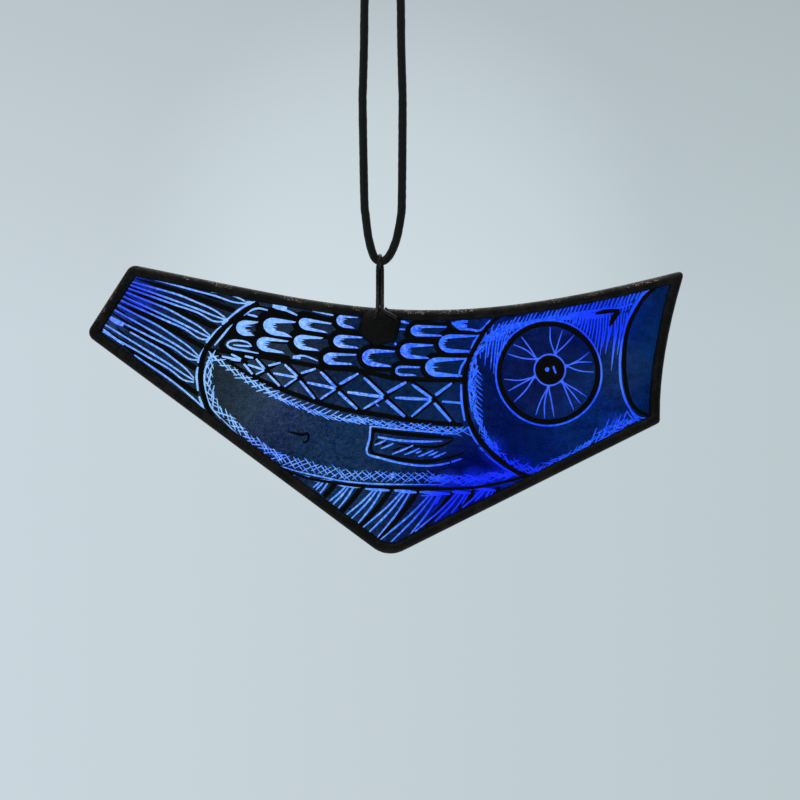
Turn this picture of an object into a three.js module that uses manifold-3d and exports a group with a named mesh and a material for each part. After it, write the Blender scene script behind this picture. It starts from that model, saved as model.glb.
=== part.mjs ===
// A small fish-shaped hanging ornament: one pane of painted blue glass with a soldered
// copper-foil edge, a hairpin wire eye on a solder pad, and a knotted loop of waxed cord.
//
// Millimetres. X runs from tail to mouth, Y from front to back, Z up. Everything is drawn about
// the centre of the cord where it lies in the wire eye. The finished ornament is then moved so
// that its origin is the middle of the flat on the back of the knot.

import * as THREE from "three";
import { LoftGeometry } from "three/addons/geometries/LoftGeometry.js";
import { mergeVertices } from "three/addons/utils/BufferGeometryUtils.js";
import Module from "manifold-3d";

const wasm = await Module();
wasm.setup();

// ---- Driving dimensions ---------------------------------------------------------------------

const GLASS_THICKNESS = 3;
const EDGE_TO_GLASS = 0.5; // foil and solder standing outside the edge of the glass
const FOIL_THICKNESS = 0.1;
const FIT_GAP = 0.03; // between glass, foil and solder
const FOIL_LAP = 2.0; // reach of the foil in from the outer edge, on both faces
const SOLDER_LAP = 2.05;
const SOLDER_CREST = 0.5; // height of the solder bead above the glass face

const PAD = { x: -0.1, z: -13.2, radius: 3.8, height: 1.75 };
const PAD_STEP_GAP = 0.05; // between the pad and the bead it laps over

const WIRE_RADIUS = 0.375;
const STRAND_OFFSET = 0.42; // half the spacing of the two strands in the stem
const STEM_FRONT = -2.42; // where the wire crosses in front of the bead
const EYE_RADIUS = 1.3;

const CORD_RADIUS = 0.75;
const CORD_BEND_RADIUS = 2.2; // of the cord's centre line under the eye
const TWIST_JOINT_Z = 30;
const NECK = { x: 0.5, offset: 0.8, low: 78.6, high: 81.6 };
const SWAY_GAP = 0.6; // between neck and strands, which turn sideways on each other
const SWING_GAP = 0.3; // between knot and neck
const TWIST_GAP = 0.3;
const IN_EYE_LENGTH = 1.0; // of the cord that lies inside the eye
const BEND_START = 25; // degrees round the bend from its lowest point, clear of that length
const KNOT = { radius: 2.9, height: 7, tail: 7, flat: 2.3 }; // flat: its back face, in Y
const KNOT_BASE = NECK.high + SWING_GAP / 2;
const ORIGIN = [NECK.x, KNOT.flat, KNOT_BASE + 2.45];

// Corners of the outer silhouette, as if sharp, each with its rounding radius. The edge that
// leaves a corner is straight unless it has Bezier control points.
const CORNERS = [
  { at: [-49.8, -0.7], round: 2.0, bend: [[-5.8, -9.5], [9.2, -15.3]] }, // tail, top
  { at: [61.0, -1.8], round: 0.8, bend: [[55.6, -19.4]] }, // mouth, top
  { at: [56.0, -32.3], round: 0.9 }, // mouth, bottom
  { at: [1.5, -59.5], round: 5.7 }, // belly point
  { at: [-58.8, -14.7], round: 1.8 }, // tail, bottom
];
const CORNER_STEPS = 6;
const MM_PER_CURVE_POINT = 4;
const CURVE_TRIM = 0.05; // share of a bent edge left to the roundings at its two ends

// ---- Materials ------------------------------------------------------------------------------

function material(color, roughness, metalness) {
  return new THREE.MeshStandardMaterial({ color, roughness, metalness });
}

const blueGlass = material(0x1238a8, 0.08, 0);
const copper = material(0x8a4a2c, 0.4, 1);
const darkSolder = material(0x1b1714, 0.45, 0.8);
const tinnedWire = material(0x2a241f, 0.4, 0.9);
const waxedCord = material(0x14130f, 0.7, 0);

// ---- Outline of the fish --------------------------------------------------------------------

function bezier(points) {
  return points.length === 4 ? new THREE.CubicBezierCurve(...points)
    : points.length === 3 ? new THREE.QuadraticBezierCurve(...points)
      : new THREE.LineCurve(...points);
}

const vertices2 = CORNERS.map((c) => new THREE.Vector2(...c.at));
const edges = CORNERS.map((corner, i) => {
  const bends = (corner.bend ?? []).map((p) => new THREE.Vector2(...p));
  return bezier([vertices2[i], ...bends, vertices2[(i + 1) % vertices2.length]]);
});

// The outline runs clockwise seen from the front, so its inside is on the right of its path.
function inwards(tangent) {
  return new THREE.Vector2(tangent.y, -tangent.x);
}

function crossing(pointA, alongA, pointB, alongB) {
  const between = pointB.clone().sub(pointA);
  const share = between.cross(alongB) / alongA.cross(alongB);
  return pointA.clone().addScaledVector(alongA, share);
}

// The arc that rounds one corner of the outline moved inwards by inset.
function roundedCorner(i, inset) {
  const before = edges[(i + edges.length - 1) % edges.length];
  const arriving = before.getTangent(1);
  const leaving = edges[i].getTangent(0);
  const corner = vertices2[i];
  const sharp = crossing(
    corner.clone().addScaledVector(inwards(arriving), inset), arriving,
    corner.clone().addScaledVector(inwards(leaving), inset), leaving,
  );
  const radius = Math.max(CORNERS[i].round - inset, 0.15);
  const half = Math.acos(THREE.MathUtils.clamp(arriving.dot(leaving), -1, 1)) / 2;
  const start = sharp.clone().addScaledVector(arriving, -radius * Math.tan(half));
  const centre = start.clone().addScaledVector(inwards(arriving), radius);
  return Array.from({ length: CORNER_STEPS + 1 }, (_, k) =>
    start.clone().rotateAround(centre, (-2 * half * k) / CORNER_STEPS));
}

function bentEdge(i, inset) {
  if (!CORNERS[i].bend) return [];
  const curve = edges[i];
  const count = Math.round(curve.getLength() / MM_PER_CURVE_POINT);
  return Array.from({ length: count + 1 }, (_, k) => {
    const t = THREE.MathUtils.lerp(CURVE_TRIM, 1 - CURVE_TRIM, k / count);
    return curve.getPoint(t).addScaledVector(inwards(curve.getTangent(t)), inset);
  });
}

// Always the same number of points, so outlines at two insets match point for point.
function outline(inset) {
  return CORNERS.flatMap((_, i) => [...roundedCorner(i, inset), ...bentEdge(i, inset)]);
}

// ---- Solids ---------------------------------------------------------------------------------

// A prism of the outline, between two Y positions.
function prism(points, front, back) {
  const shape = new THREE.Shape(points);
  const geometry = new THREE.ExtrudeGeometry(shape, { depth: back - front, bevelEnabled: false });
  return geometry.rotateX(Math.PI / 2).translate(0, back, 0);
}

// A closed band that carries a profile of [inset, y] points round the outline.
function band(profile) {
  const rings = profile.map(([inset]) => outline(inset));
  const sections = rings[0].map((_, k) =>
    profile.map(([, y], j) => new THREE.Vector3(rings[j][k].x, y, rings[j][k].y)));
  return new LoftGeometry([...sections, sections[0]].reverse());
}

// A round tube along a curve, with ends rounded off like a bead.
function tube(curve, radius, { steps, sides = 12, roundEnds = false }) {
  const frames = curve.computeFrenetFrames(steps, false);
  const ring = (t, k, r, shift) => Array.from({ length: sides }, (_, s) => {
    const angle = (2 * Math.PI * s) / sides;
    return curve.getPointAt(t)
      .addScaledVector(frames.tangents[k], shift)
      .addScaledVector(frames.normals[k], r * Math.cos(angle))
      .addScaledVector(frames.binormals[k], r * Math.sin(angle));
  });
  const body = Array.from({ length: steps + 1 }, (_, k) => ring(k / steps, k, radius, 0));
  if (!roundEnds) return new LoftGeometry(body, { capStart: true, capEnd: true });
  // Each end narrows over the last radius of length, in steps of 30 degrees.
  const narrowing = [75, 60, 30].map((degrees) => THREE.MathUtils.degToRad(degrees));
  const cap = (t, k, way) => narrowing.map((a) =>
    ring(t, k, radius * Math.cos(a), way * radius * Math.sin(a)));
  return new LoftGeometry([...cap(0, 0, -1), ...body, ...cap(1, steps, 1).reverse()],
    { capStart: true, capEnd: true });
}

function smoothPath(points) {
  return new THREE.CatmullRomCurve3(points.map((p) => new THREE.Vector3(...p)), false, "centripetal");
}

function toSolid(geometry) {
  const bare = new THREE.BufferGeometry().copy(geometry);
  bare.deleteAttribute("normal");
  bare.deleteAttribute("uv");
  const merged = mergeVertices(bare, 1e-4);
  return new wasm.Manifold(new wasm.Mesh({
    numProp: 3,
    vertProperties: new Float32Array(merged.attributes.position.array),
    triVerts: new Uint32Array(merged.index.array),
  }));
}

function fromSolid(solid) {
  const mesh = solid.getMesh();
  return new THREE.BufferGeometry()
    .setAttribute("position", new THREE.BufferAttribute(mesh.vertProperties, 3))
    .setIndex(new THREE.BufferAttribute(mesh.triVerts, 1));
}

// ---- Glass, foil and solder edge ------------------------------------------------------------

const faceY = GLASS_THICKNESS / 2;

function glassPane() {
  return prism(outline(EDGE_TO_GLASS), -faceY, faceY);
}

// A strip of foil folded over the edge of the glass, seen in section as a square C.
function copperFoil() {
  const inner = { inset: EDGE_TO_GLASS - FIT_GAP, y: faceY + FIT_GAP };
  const outer = { inset: inner.inset - FOIL_THICKNESS, y: inner.y + FOIL_THICKNESS };
  return band([
    [FOIL_LAP, -outer.y], [outer.inset, -outer.y], [outer.inset, outer.y], [FOIL_LAP, outer.y],
    [FOIL_LAP, inner.y], [inner.inset, inner.y], [inner.inset, -inner.y], [FOIL_LAP, -inner.y],
  ]);
}

// The solder bead over the foil: domed on the edge, with a narrow flat crest on each face.
function solderRim() {
  const inner = { inset: EDGE_TO_GLASS - 2 * FIT_GAP - FOIL_THICKNESS, y: faceY + 2 * FIT_GAP + FOIL_THICKNESS };
  const crest = faceY + SOLDER_CREST;
  const half = [
    [SOLDER_LAP, inner.y], [SOLDER_LAP - 0.1, inner.y + 0.16], [1.5, crest], [0.9, crest],
    [0.35, crest - 0.25], [0.05, 0.6 * crest], [0, 0.3 * crest],
  ];
  const front = half.map(([inset, y]) => [inset, -y]);
  return band([...front, ...half.reverse(), [inner.inset, inner.y], [inner.inset, -inner.y]]);
}

// ---- Hanger wire, solder pad and its foil ---------------------------------------------------

// One half of the hairpin, from the splayed end of its leg on the pad up to the eye. The two
// strands of the stem lie side by side, and turn a quarter to front and back below the eye.
function strand(side, legEnd, legMiddle) {
  const x = side * STRAND_OFFSET;
  return [
    legEnd, legMiddle,
    [x * 1.1, STEM_FRONT, -10.2],
    [x, STEM_FRONT + 0.15, -9.2],
    [x, -1.2, -7.6],
    [x, -0.3, -6.1],
    [x, 0, -4.6],
    [x, side * 0.05, -3.4],
    [0.75 * x, side * 0.42, -2.6],
    [0.3 * x, side * 0.86, -1.8],
    [0, side * 1.18, -0.95],
    [0, side * EYE_RADIUS, 0],
  ];
}

function hangerPath() {
  const left = strand(-1, [-2.4, STEM_FRONT, -12.5], [-1.2, STEM_FRONT, -11.1]);
  const right = strand(1, [3.2, STEM_FRONT, -11.7], [1.7, STEM_FRONT, -10.9]);
  const diagonal = EYE_RADIUS * Math.SQRT1_2;
  const top = [[0, -diagonal, diagonal], [0, 0, EYE_RADIUS], [0, diagonal, diagonal]];
  return smoothPath([...left, ...top, ...right.reverse()]);
}

function hangerWire(radius = WIRE_RADIUS) {
  return tube(hangerPath(), radius, { steps: 110, sides: 10 });
}

// A disc on the front face, cut back where the soldered edge already covers the glass.
function onFront(profile, sides) {
  return new THREE.LatheGeometry(profile.map((p) => new THREE.Vector2(...p)), sides)
    .rotateX(-Math.PI)
    .translate(PAD.x, 0, PAD.z);
}

// Everything near the pad that is outside the outline at this inset, from a Y back to the middle.
function edgeRegion(inset, front) {
  const size = 6 * PAD.radius;
  const slab = new THREE.BoxGeometry(size, -front, size).translate(PAD.x, front / 2, PAD.z);
  return toSolid(slab).subtract(toSolid(prism(outline(inset), front - 1, 1)));
}

function foilPad() {
  const y = faceY + FIT_GAP;
  const disc = onFront([[0, y], [PAD.radius - 0.2, y], [PAD.radius - 0.2, y + FOIL_THICKNESS], [0, y + FOIL_THICKNESS]], 32);
  return fromSolid(toSolid(disc).subtract(edgeRegion(SOLDER_LAP + PAD_STEP_GAP, -10)));
}

function solderPad() {
  const y = faceY + 2 * FIT_GAP + FOIL_THICKNESS;
  const rise = PAD.height - (y - faceY);
  const dome = [90, 75, 60, 45, 30, 15, 0].map((degrees) => {
    const a = THREE.MathUtils.degToRad(degrees);
    return [PAD.radius * Math.cos(a) ** 0.55, y + rise * Math.sin(a)];
  });
  const blob = onFront([[0, y], ...dome.reverse()].map(([r, h]) => [Math.max(r, 0), h]), 32);
  const overBead = -(faceY + SOLDER_CREST + PAD_STEP_GAP);
  return fromSolid(toSolid(blob)
    .subtract(edgeRegion(SOLDER_LAP + PAD_STEP_GAP, overBead))
    .subtract(toSolid(hangerWire(WIRE_RADIUS + PAD_STEP_GAP))));
}

// ---- Cord loop ------------------------------------------------------------------------------

// Centre line of one side of the loop, from just outside the eye up to the neck.
function cordSide(side, spread) {
  const bend = (degrees) => {
    const a = THREE.MathUtils.degToRad(degrees);
    return [side * CORD_BEND_RADIUS * Math.sin(a), 0, CORD_BEND_RADIUS * (1 - Math.cos(a))];
  };
  const drift = side * spread;
  return smoothPath([
    bend(BEND_START), bend(36), bend(48),
    [side * 2.75, 0, 2.6],
    [side * 3.2 + drift * 0.4, 0, 5.2],
    [side * 3.6 + drift * 0.8, 0, 11],
    [side * 3.75 + drift, 0, 20],
    [side * 3.75 + drift, 0, 32],
    [side * 3.5 + drift, 0, 44],
    [side * 3.3 + drift, 0, 54],
    [side * 2.75 + drift * 0.9, 0, 62],
    [side * 1.75 + drift * 0.8, 0, 70],
    [NECK.x + side * (NECK.offset + 0.2), 0, 75.5],
    [NECK.x + side * NECK.offset, 0, NECK.low - SWAY_GAP / 2 - CORD_RADIUS],
  ]);
}

const SPREAD = { left: -0.3, right: 0.75 }; // the loop hangs a little to the right of the eye

function heightShare(curve, z) {
  let low = 0;
  let high = 1;
  for (let i = 0; i < 40; i += 1) {
    const middle = (low + high) / 2;
    if (curve.getPointAt(middle).z < z) low = middle;
    else high = middle;
  }
  return low;
}

// The stretch of a curve between two shares of its length, as a curve of its own.
function stretch(curve, from, to, count) {
  return new THREE.CatmullRomCurve3(Array.from({ length: count + 1 }, (_, k) =>
    curve.getPointAt(THREE.MathUtils.lerp(from, to, k / count))), false, "centripetal");
}

function cordBend(side, spread) {
  const whole = cordSide(side, spread);
  const end = heightShare(whole, TWIST_JOINT_Z - TWIST_GAP / 2);
  return tube(stretch(whole, 0, end, 20), CORD_RADIUS, { steps: 26 });
}

function cordStrand(side, spread) {
  const whole = cordSide(side, spread);
  const start = heightShare(whole, TWIST_JOINT_Z + TWIST_GAP / 2);
  const upper = stretch(whole, start, 1, 16);
  const barrel = toSolid(tube(upper, CORD_RADIUS, { steps: 20 }));
  const tip = toSolid(new THREE.SphereGeometry(CORD_RADIUS, 12, 8)
    .translate(...upper.getPointAt(1).toArray()));
  return fromSolid(barrel.add(tip));
}

function cordNeck(side) {
  const x = NECK.x + side * NECK.offset;
  const low = NECK.low + SWAY_GAP / 2 + CORD_RADIUS;
  const high = NECK.high - SWING_GAP / 2 - CORD_RADIUS;
  const line = new THREE.LineCurve3(new THREE.Vector3(x, 0, low), new THREE.Vector3(x, 0, high));
  return tube(line, CORD_RADIUS, { steps: 1, roundEnds: true });
}

function cordInEye() {
  return new THREE.CylinderGeometry(CORD_RADIUS, CORD_RADIUS, IN_EYE_LENGTH, 16).rotateZ(Math.PI / 2);
}

// The knot that closes the loop: a bulb with a flat underside and a flat back, and the cord's
// two loose ends.
function cordKnot() {
  const bulge = [[0, 0], [2.2, 0], [KNOT.radius, 0.7], [KNOT.radius, 0.65 * KNOT.height],
    [0.75 * KNOT.radius, 0.9 * KNOT.height], [0.4 * KNOT.radius, KNOT.height], [0, KNOT.height]];
  const bulb = new THREE.LatheGeometry(bulge.map(([r, h]) => new THREE.Vector2(r, h)), 24)
    .rotateX(Math.PI / 2).translate(NECK.x, 0, KNOT_BASE);
  const size = 4 * KNOT.height;
  const behind = new THREE.BoxGeometry(size, size, size)
    .translate(NECK.x, KNOT.flat + size / 2, KNOT_BASE);
  const tails = [-1, 1].map((side) => toSolid(tube(smoothPath([
    [NECK.x + side * 0.5, 0, KNOT_BASE + 0.6 * KNOT.height],
    [NECK.x + side * 1.0, 0, KNOT_BASE + KNOT.height + 1],
    [NECK.x + side * 1.9, side * 0.3, KNOT_BASE + KNOT.height + 0.6 * KNOT.tail],
    [NECK.x + side * 3.3, side * 0.5, KNOT_BASE + KNOT.height + KNOT.tail],
  ]), CORD_RADIUS, { steps: 8 })));
  const knot = tails.reduce((all, tail) => all.add(tail), toSolid(bulb));
  return fromSolid(knot.subtract(toSolid(behind)));
}

// ---- Assembly -------------------------------------------------------------------------------

const ornament = new THREE.Group();

function place(name, geometry, look) {
  const mesh = new THREE.Mesh(geometry.translate(...ORIGIN.map((v) => -v)), look);
  mesh.name = name;
  ornament.add(mesh);
}

place("glass_pane", glassPane(), blueGlass);
place("copper_foil", copperFoil(), copper);
place("solder_rim", solderRim(), darkSolder);
place("foil_pad", foilPad(), copper);
place("solder_pad", solderPad(), darkSolder);
place("hanger_wire", hangerWire(), tinnedWire);
place("cord_in_eye", cordInEye(), waxedCord);
place("cord_bend_left", cordBend(-1, SPREAD.left), waxedCord);
place("cord_bend_right", cordBend(1, SPREAD.right), waxedCord);
place("cord_strand_left", cordStrand(-1, SPREAD.left), waxedCord);
place("cord_strand_right", cordStrand(1, SPREAD.right), waxedCord);
place("cord_neck_left", cordNeck(-1), waxedCord);
place("cord_neck_right", cordNeck(1), waxedCord);
place("cord_knot", cordKnot(), waxedCord);

export default ornament;
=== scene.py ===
"""The looks of a small stained-glass carp streamer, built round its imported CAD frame.

The pane is blue glass. Its front carries fired black paint in two layers: a thin dark wash over
the whole face, and thick trace lines. The light drawing is scratched through the wash, so it is
bare glass with light behind it. The paint is real relief, cut out of the face by triangulating
every painted and scratched outline together.

Drawing coordinates are millimetres in the plane of the pane, (x, z), measured from the middle of
the cord where it lies in the hanger's eye: x towards the mouth, z up.
"""

import math

import bmesh
import bpy
import numpy as np
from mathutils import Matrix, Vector, noise
from mathutils.geometry import delaunay_2d_cdt


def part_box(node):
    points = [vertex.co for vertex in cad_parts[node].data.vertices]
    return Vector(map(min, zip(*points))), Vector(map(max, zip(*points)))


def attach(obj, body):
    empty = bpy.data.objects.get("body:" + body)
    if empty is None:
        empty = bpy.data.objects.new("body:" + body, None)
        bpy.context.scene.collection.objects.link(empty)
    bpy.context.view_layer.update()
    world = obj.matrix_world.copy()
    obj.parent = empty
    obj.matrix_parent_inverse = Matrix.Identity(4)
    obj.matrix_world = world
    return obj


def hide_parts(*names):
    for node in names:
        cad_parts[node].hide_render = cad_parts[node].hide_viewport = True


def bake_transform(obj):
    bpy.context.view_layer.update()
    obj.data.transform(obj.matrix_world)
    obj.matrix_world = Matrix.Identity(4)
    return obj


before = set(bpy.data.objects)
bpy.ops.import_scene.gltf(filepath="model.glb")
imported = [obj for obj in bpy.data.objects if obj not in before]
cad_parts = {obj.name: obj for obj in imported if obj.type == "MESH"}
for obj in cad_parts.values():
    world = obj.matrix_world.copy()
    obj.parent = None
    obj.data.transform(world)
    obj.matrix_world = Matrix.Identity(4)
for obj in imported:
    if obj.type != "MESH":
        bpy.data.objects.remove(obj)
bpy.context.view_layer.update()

MM = 0.001
rng = np.random.default_rng(8)


def box_of(node):
    return [Vector(corner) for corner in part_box(node)]


def middle(node):
    low, high = box_of(node)
    return (low + high) / 2


EYE = middle("cord_in_eye")
PANE_LOW, PANE_HIGH = box_of("glass_pane")
HALF_GLASS = (PANE_HIGH.y - PANE_LOW.y) / 2 / MM
# How far the soldered edge stands out past the glass's edge.
EDGE = (PANE_LOW.x - box_of("solder_rim")[0].x) / MM


def place(x, y, z):
    """A point of the drawing, y millimetres behind the middle of the pane, in the row frame."""
    return EYE + Vector((x, y, z)) * MM


# ---- Meshes and materials -------------------------------------------------------------------


def new_object(name, points, faces, smooth=True):
    mesh = bpy.data.meshes.new(name)
    mesh.from_pydata(points, [], faces)
    mesh.update()
    bm = bmesh.new()
    bm.from_mesh(mesh)
    bmesh.ops.recalc_face_normals(bm, faces=bm.faces)
    bm.to_mesh(mesh)
    bm.free()
    obj = bpy.data.objects.new(name, mesh)
    bpy.context.scene.collection.objects.link(obj)
    mesh.shade_smooth() if smooth else mesh.shade_flat()
    return obj


def loft(name, rings, closed_path=False):
    """Skins rings of equally many points. An open path is capped with a point at each end."""
    count = len(rings[0])
    points = [p for ring in rings for p in ring]
    faces = []
    last = len(rings) if closed_path else len(rings) - 1
    for r in range(last):
        a, b = r * count, (r + 1) % len(rings) * count
        for s in range(count):
            t = (s + 1) % count
            faces.append((a + s, a + t, b + t, b + s))
    if not closed_path:
        for start, ring in ((0, rings[0]), ((len(rings) - 1) * count, rings[-1])):
            points.append(sum(ring, Vector()) / count)
            faces += [(start + s, start + (s + 1) % count, len(points) - 1) for s in range(count)]
    return new_object(name, points, faces)


def srgb(r, g, b):
    """A linear colour from 8-bit display values."""
    linear = [((c / 255 + 0.055) / 1.055) ** 2.4 if c > 10 else c / 255 / 12.92 for c in (r, g, b)]
    return (*linear, 1)


class Nodes:
    """A node tree, with short ways to add what the materials and the sky share."""

    def __init__(self, tree):
        self.tree = tree

    def add(self, kind, **settings):
        node = self.tree.nodes.new(kind)
        for key, value in settings.items():
            setattr(node, key, value)
        return node

    def join(self, source, target):
        if isinstance(source, bpy.types.NodeSocket):
            self.tree.links.new(source, target)
        else:
            target.default_value = source

    def between(self, value, low, high, to_low=0.0, to_high=1.0, shape="SMOOTHSTEP"):
        node = self.add("ShaderNodeMapRange", interpolation_type=shape)
        for source, socket in zip((value, low, high, to_low, to_high), node.inputs):
            self.join(source, socket)
        return node.outputs[0]

    def math(self, operation, *values):
        node = self.add("ShaderNodeMath", operation=operation)
        for value, socket in zip(values, node.inputs):
            self.join(value, socket)
        return node.outputs[0]

    def times(self, a, b):
        return self.math("MULTIPLY", a, b)

    def plus(self, a, b):
        return self.math("ADD", a, b)

    def mix(self, share, a, b, kind="RGBA"):
        node = self.add("ShaderNodeMix", data_type=kind)
        first, result = {"FLOAT": (2, 0), "RGBA": (6, 2)}[kind]  # each kind has sockets of its own
        for source, socket in zip((share, a, b), (0, first, first + 1)):
            self.join(source, node.inputs[socket])
        return node.outputs[result]

    def compare(self, operation, vector, fixed):
        """One number from a vector and a fixed one, such as their distance or dot product."""
        node = self.add("ShaderNodeVectorMath", operation=operation)
        self.join(vector, node.inputs[0])
        node.inputs[1].default_value = fixed
        return node.outputs["Value"]

    def split(self, vector):
        """The X, Y and Z of a vector."""
        node = self.add("ShaderNodeSeparateXYZ")
        self.join(vector, node.inputs[0])
        return node.outputs


class Look(Nodes):
    """A material's nodes."""

    def __init__(self, name):
        self.material = bpy.data.materials.new(name)
        self.material.use_nodes = True
        super().__init__(self.material.node_tree)
        self.shader = self.tree.nodes["Principled BSDF"]
        self.where = self.add("ShaderNodeTexCoord").outputs["Object"]

    def noise(self, per_mm, detail=4.0, stretch=(1, 1, 1), rough=0.55):
        """Noise with this many cells to a millimetre."""
        mapping = self.add("ShaderNodeMapping")
        self.join(self.where, mapping.inputs["Vector"])
        mapping.inputs["Scale"].default_value = [s / MM * per_mm for s in stretch]
        texture = self.add("ShaderNodeTexNoise")
        self.join(mapping.outputs[0], texture.inputs["Vector"])
        for socket, value in (("Scale", 1.0), ("Detail", detail), ("Roughness", rough)):
            texture.inputs[socket].default_value = value
        return texture.outputs[0]

    def near(self, x, z, core, reach):
        """1 within core millimetres of a place on the drawing, falling to 0 at reach."""
        away = self.compare("DISTANCE", self.where, place(x, 0, z))
        return self.between(away, core * MM, reach * MM, 1.0, 0.0)

    def eastward(self, start, end, to_low=0.0, to_high=1.0):
        """Changes from one value to the other between two places along the pane."""
        x = self.split(self.where)["X"]
        return self.between(x, place(start, 0, 0).x, place(end, 0, 0).x, to_low, to_high)

    def bump(self, height, depth_mm, strength=1.0):
        node = self.add("ShaderNodeBump")
        node.inputs["Strength"].default_value = strength
        node.inputs["Distance"].default_value = depth_mm * MM
        self.join(height, node.inputs["Height"])
        self.join(node.outputs[0], self.shader.inputs["Normal"])

    def set(self, **values):
        for name, value in values.items():
            self.join(value, self.shader.inputs[name.replace("_", " ")])
        return self.material


# ---- Paths ----------------------------------------------------------------------------------


def travelled(path):
    """How far along a path each of its points is."""
    return np.concatenate([[0], np.cumsum(np.linalg.norm(np.diff(path, axis=0), axis=1))])


def points_at(path, distances):
    """The points of a path at these distances along it."""
    along = travelled(path)
    return np.stack([np.interp(distances, along, column) for column in np.transpose(path)], axis=1)


def spline(points, counts):
    """A Catmull-Rom curve through points, with this many steps from each to the next."""
    p = np.vstack([2 * points[0] - points[1], points, 2 * points[-1] - points[-2]])
    out = []
    for a, b, c, d, count in zip(p, p[1:], p[2:], p[3:], counts):
        t = np.arange(count)[:, None] / count
        square, cube = 2 * a - 5 * b + 4 * c - d, 3 * b - a - 3 * c + d
        out.append(0.5 * (2 * b + (c - a) * t + square * t**2 + cube * t**3))
    return np.vstack(out + [points[-1:]])


def anticlockwise(polygon):
    polygon = np.array(polygon, float)
    (x, z), (x_next, z_next) = polygon.T, np.roll(polygon, -1, axis=0).T
    return polygon if (x * z_next - z * x_next).sum() > 0 else polygon[::-1]


# ---- Outline of the pane --------------------------------------------------------------------


def pane_loop(step):
    """The glass's edge as evenly spaced drawing points, anticlockwise, read off the CAD pane."""
    bm = bmesh.new()
    bm.from_mesh(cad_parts["glass_pane"].data)
    bmesh.ops.remove_doubles(bm, verts=bm.verts, dist=1e-6)
    bmesh.ops.dissolve_limit(bm, angle_limit=0.002, verts=bm.verts, edges=bm.edges)  # leaves whole faces
    face = min(bm.faces, key=lambda f: f.normal.y * f.calc_area())
    corners = np.array([[(v.co.x - EYE.x) / MM, (v.co.z - EYE.z) / MM] for v in face.verts])
    bm.free()
    corners = anticlockwise(corners)
    closed = np.vstack([corners, corners[:1]])
    around = travelled(closed)[-1]
    return points_at(closed, np.linspace(0, around, round(around / step), endpoint=False))


def inward(loop, blur=2):
    tangent = np.roll(loop, -blur, axis=0) - np.roll(loop, blur, axis=0)
    tangent /= np.linalg.norm(tangent, axis=1, keepdims=True)
    return np.stack([-tangent[:, 1], tangent[:, 0]], axis=1)


INSET_SLACK = 0.03  # how much nearer to the edge than its depth a moved point may lie


def inset(loop, depth):
    """The loop moved inwards. Where corners would cross, the points gather at the crossing."""
    moved = loop + inward(loop) * np.reshape(depth, (-1, 1))
    away = np.linalg.norm(moved[:, None] - loop[None], axis=2).min(axis=1)
    clear = away > np.ravel(depth) - INSET_SLACK
    index = np.arange(len(loop))
    columns = [np.interp(index, index[clear], moved[clear, axis], period=len(loop)) for axis in (0, 1)]
    return np.stack(columns, axis=1)


LOOP = pane_loop(0.3)
BORDER_SKIP = 3  # the borders of the glass and the paint take every third point of the loop
MERGE = 1e-4  # points nearer than this to each other are taken as one when a face is cut up


def ripple(points, per_mm, seed):
    """Smooth noise from -1 to 1 at each drawing point."""
    return np.array([noise.noise(Vector((x * per_mm, z * per_mm, seed))) for x, z in points])


# ---- Glass ----------------------------------------------------------------------------------

GLASS_WAVE = 0.02  # how far the rolled sheet's faces rise and fall
GLASS_GRID = 2.4  # between the points inside the pane


def glass_pane():
    border = LOOP[::BORDER_SKIP]
    columns, rows = (np.arange(*span, GLASS_GRID) for span in zip(border.min(axis=0), border.max(axis=0)))
    grid = [Vector((x, z)) for x in columns for z in rows]
    edge = [Vector(p) for p in border]
    points, _, faces, *_ = delaunay_2d_cdt(edge + grid, [], [list(range(len(edge)))], 1, MERGE)
    wave = ripple(points, 0.09, 3.0)
    front = [place(p.x, -HALF_GLASS + GLASS_WAVE * w, p.y) for p, w in zip(points, wave)]
    back = [place(p.x, HALF_GLASS + GLASS_WAVE * w, p.y) for p, w in zip(points, wave[::-1])]
    return thick_sheet("painted_glass", front, back, faces)


def thick_sheet(name, front, back, faces):
    """Joins two matching triangulated faces along their free edges."""
    count = len(front)
    sides = {}
    for face in faces:
        for a, b in zip(face, face[1:] + face[:1]):
            sides[(a, b)] = sides.get((a, b), 0) + 1
    rim = [(a, b) for a, b in sides if (b, a) not in sides]
    shell = [tuple(f) for f in faces]
    shell += [tuple(v + count for v in reversed(f)) for f in faces]
    shell += [(b, a, a + count, b + count) for a, b in rim]
    return new_object(name, front + back, shell, smooth=False)


LIGHT_THROUGH = [  # x, z, core, reach and colour of the light that comes through there
    (-30, -14, 3, 26, srgb(122, 172, 255)),
    (-32, -26, 4, 16, srgb(130, 184, 255)),
    (-18, -12, 4, 16, srgb(116, 166, 255)),
    (-46, -14, 4, 16, srgb(84, 146, 255)),
    (-8, -38, 4, 20, srgb(62, 130, 255)),
    (-6, -52, 3, 14, srgb(66, 138, 255)),
    (12, -28, 3, 14, srgb(48, 114, 255)),
    (40, -24, 12, 30, srgb(4, 66, 255)),
    (54, -18, 2, 9, srgb(8, 108, 255)),
    (40, -34, 2, 8, srgb(4, 84, 255)),
]
DEEP_BLUE = [  # the same for the dark places near the edge
    (-49, -7, 2, 10, srgb(18, 58, 255)),
    (20, -45, 3, 13, srgb(3, 18, 255)),
    (29, -39, 2, 10, srgb(2, 26, 255)),
    (13, -49, 2, 9, srgb(8, 40, 255)),
    (45, -13, 3, 11, srgb(8, 52, 255)),
]


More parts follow.
